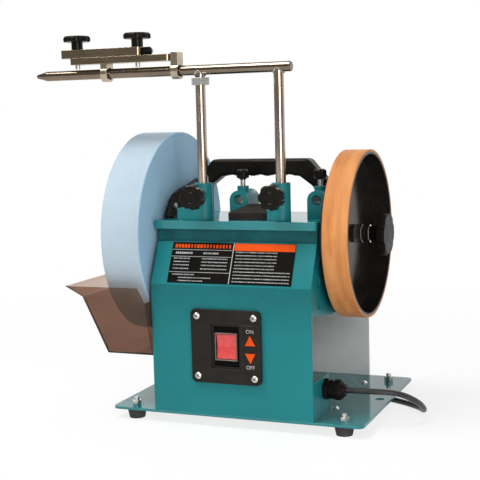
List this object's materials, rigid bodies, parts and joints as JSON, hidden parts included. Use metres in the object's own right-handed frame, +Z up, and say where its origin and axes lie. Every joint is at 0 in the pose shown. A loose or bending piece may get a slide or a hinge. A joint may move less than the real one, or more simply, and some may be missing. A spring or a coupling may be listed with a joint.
{
  "type": "wet grinding sharpener",
  "caption": "Bench sharpener with a slow wet grindstone over a water trough, a leather honing wheel, a motor box, a height-set tool support bar and a clamping jig.",
  "frame": {"origin": "on the floor, in the middle of the object's width and depth without its cord", "axes": "+X to the honing wheel's side, +Y to the back, +Z up"},
  "size_m": [0.4725, 0.4238, 0.465],
  "materials": {
    "teal_paint": "gloss",
    "zinc_steel": "zinc plated",
    "chrome_steel": "polished",
    "jig_steel": "satin",
    "black_rubber": "matte",
    "cord_rubber": "satin",
    "black_plastic": "satin",
    "black_gloss": "gloss",
    "red_plastic": "gloss",
    "grey_plastic": "satin",
    "motor_paint": "satin",
    "cast_alloy": "as cast",
    "iron_core": "lamination",
    "bronze": "sintered",
    "blue_stone": "grained",
    "tan_leather": "smooth",
    "smoke_plastic": "translucent"
  },
  "bodies": {
    "frame": {"back_shell": "teal_paint", "base_plate": "teal_paint", "cable_gland": "black_plastic", "capacitor": "grey_plastic", "carry_handle": "black_plastic", "cord_bracket": "teal_paint", "cord_coil": "cord_rubber", "cord_tie": "black_plastic", "cross_sleeves": "teal_paint", "foot_bolts": "zinc_steel", "foot_nuts": "zinc_steel", "front_shell": "teal_paint", "label_plates": "black_gloss", "left_side_plate": "teal_paint", "m6_bolts": "zinc_steel", "motor_can": "motor_paint", "motor_cradle": "zinc_steel", "motor_end_caps": "cast_alloy", "pan_screws": "zinc_steel", "plug": "cord_rubber", "post_sleeve_left": "teal_paint", "post_sleeve_right": "teal_paint", "power_cord": "cord_rubber", "right_side_plate": "teal_paint", "rubber_feet": "black_rubber", "shaft_bushes": "bronze", "splash_guard": "black_plastic", "stator": "iron_core", "switch_housing": "grey_plastic", "switch_plate": "black_plastic", "tool_pad": "black_plastic", "top_plate": "teal_paint", "trough_rail": "zinc_steel"},
    "spindle": {"main_shaft": "chrome_steel", "grinding_stone": "blue_stone", "stone_flanges": "chrome_steel", "shaft_nuts": "chrome_steel", "drive_wheel": "grey_plastic", "drive_tyre": "black_rubber", "honing_drum": "black_gloss", "leather_band": "tan_leather"},
    "honing_nut": {"honing_knob": "black_plastic"},
    "motor_rotor": {"rotor": "iron_core", "motor_shaft": "chrome_steel"},
    "switch_rocker": {"rocker": "red_plastic"},
    "clamp_left": {"sleeve_knob_left": "black_plastic"},
    "clamp_right": {"sleeve_knob_right": "black_plastic"},
    "thumb_left": {"cross_knob_left": "black_plastic"},
    "thumb_right": {"cross_knob_right": "black_plastic"},
    "support": {"support_bar": "chrome_steel", "support_legs": "chrome_steel"},
    "height_nut": {"adjust_nut": "zinc_steel"},
    "jig_slide": {"jig_liners": "black_plastic"},
    "jig": {"jig_hooks": "jig_steel", "jig_lower_bar": "jig_steel", "jig_upper_bar": "jig_steel", "jig_end_cap": "chrome_steel"},
    "jig_clamp_left": {"jig_knob_left": "black_plastic"},
    "jig_clamp_right": {"jig_knob_right": "black_plastic"},
    "trough": {"water_trough": "smoke_plastic"}
  },
  "joints": [
    {"name": "spindle_spin", "type": "hinge", "parent": "frame", "child": "spindle", "pos_m": [0.0435, 0.0005, 0.22], "axis": [1, 0, 0], "continuous": true},
    {"name": "motor_spin", "type": "hinge", "parent": "frame", "child": "motor_rotor", "pos_m": [0.0385, 0.0005, 0.1287], "axis": [1, 0, 0], "continuous": true},
    {"name": "honing_nut_turn", "type": "hinge", "parent": "spindle", "child": "honing_nut", "pos_m": [0.2035, 0.0005, 0.22], "axis": [1, 0, 0], "range_deg": [0, 720]},
    {"name": "rocker_tilt", "type": "hinge", "parent": "frame", "child": "switch_rocker", "pos_m": [0.0475, -0.1055, 0.0975], "axis": [1, 0, 0], "range_deg": [-9, 9]},
    {"name": "support_height", "type": "slide", "parent": "frame", "child": "support", "axis": [0, 0, 1], "range_m": [-0.07, 0.05]},
    {"name": "height_nut_run", "type": "slide", "parent": "support", "child": "height_nut", "axis": [0, 0, 1], "range_m": [-0.03, 0]},
    {"name": "clamp_left_turn", "type": "hinge", "parent": "frame", "child": "clamp_left", "pos_m": [0.0075, -0.0975, 0.271], "axis": [0, -1, 0], "range_deg": [0, 720]},
    {"name": "clamp_right_turn", "type": "hinge", "parent": "frame", "child": "clamp_right", "pos_m": [0.1055, -0.0975, 0.271], "axis": [0, -1, 0], "range_deg": [0, 720]},
    {"name": "thumb_left_turn", "type": "hinge", "parent": "frame", "child": "thumb_left", "pos_m": [0.0415, -0.0315, 0.282], "axis": [0, 0, 1], "range_deg": [0, 720]},
    {"name": "thumb_right_turn", "type": "hinge", "parent": "frame", "child": "thumb_right", "pos_m": [0.1395, -0.0315, 0.282], "axis": [0, 0, 1], "range_deg": [0, 720]},
    {"name": "jig_travel", "type": "slide", "parent": "support", "child": "jig_slide", "axis": [1, 0, 0], "range_m": [-0.07, 0.006]},
    {"name": "jig_tilt", "type": "hinge", "parent": "jig_slide", "child": "jig", "pos_m": [-0.1065, -0.0735, 0.418], "axis": [1, 0, 0], "range_deg": [-35, 35]},
    {"name": "jig_clamp_left_turn", "type": "hinge", "parent": "jig", "child": "jig_clamp_left", "pos_m": [-0.156, -0.0735, 0.452], "axis": [0, 0, 1], "range_deg": [0, 720]},
    {"name": "jig_clamp_right_turn", "type": "hinge", "parent": "jig", "child": "jig_clamp_right", "pos_m": [-0.0735, -0.0735, 0.452], "axis": [0, 0, 1], "range_deg": [0, 720]},
    {"name": "trough_drop", "type": "slide", "parent": "frame", "child": "trough", "axis": [0, 0, 1], "range_m": [-0.053, 0]}
  ],
  "couplings": [
    {"joint": "motor_spin", "follows": "spindle_spin", "ratio": -14.167}
  ]
}
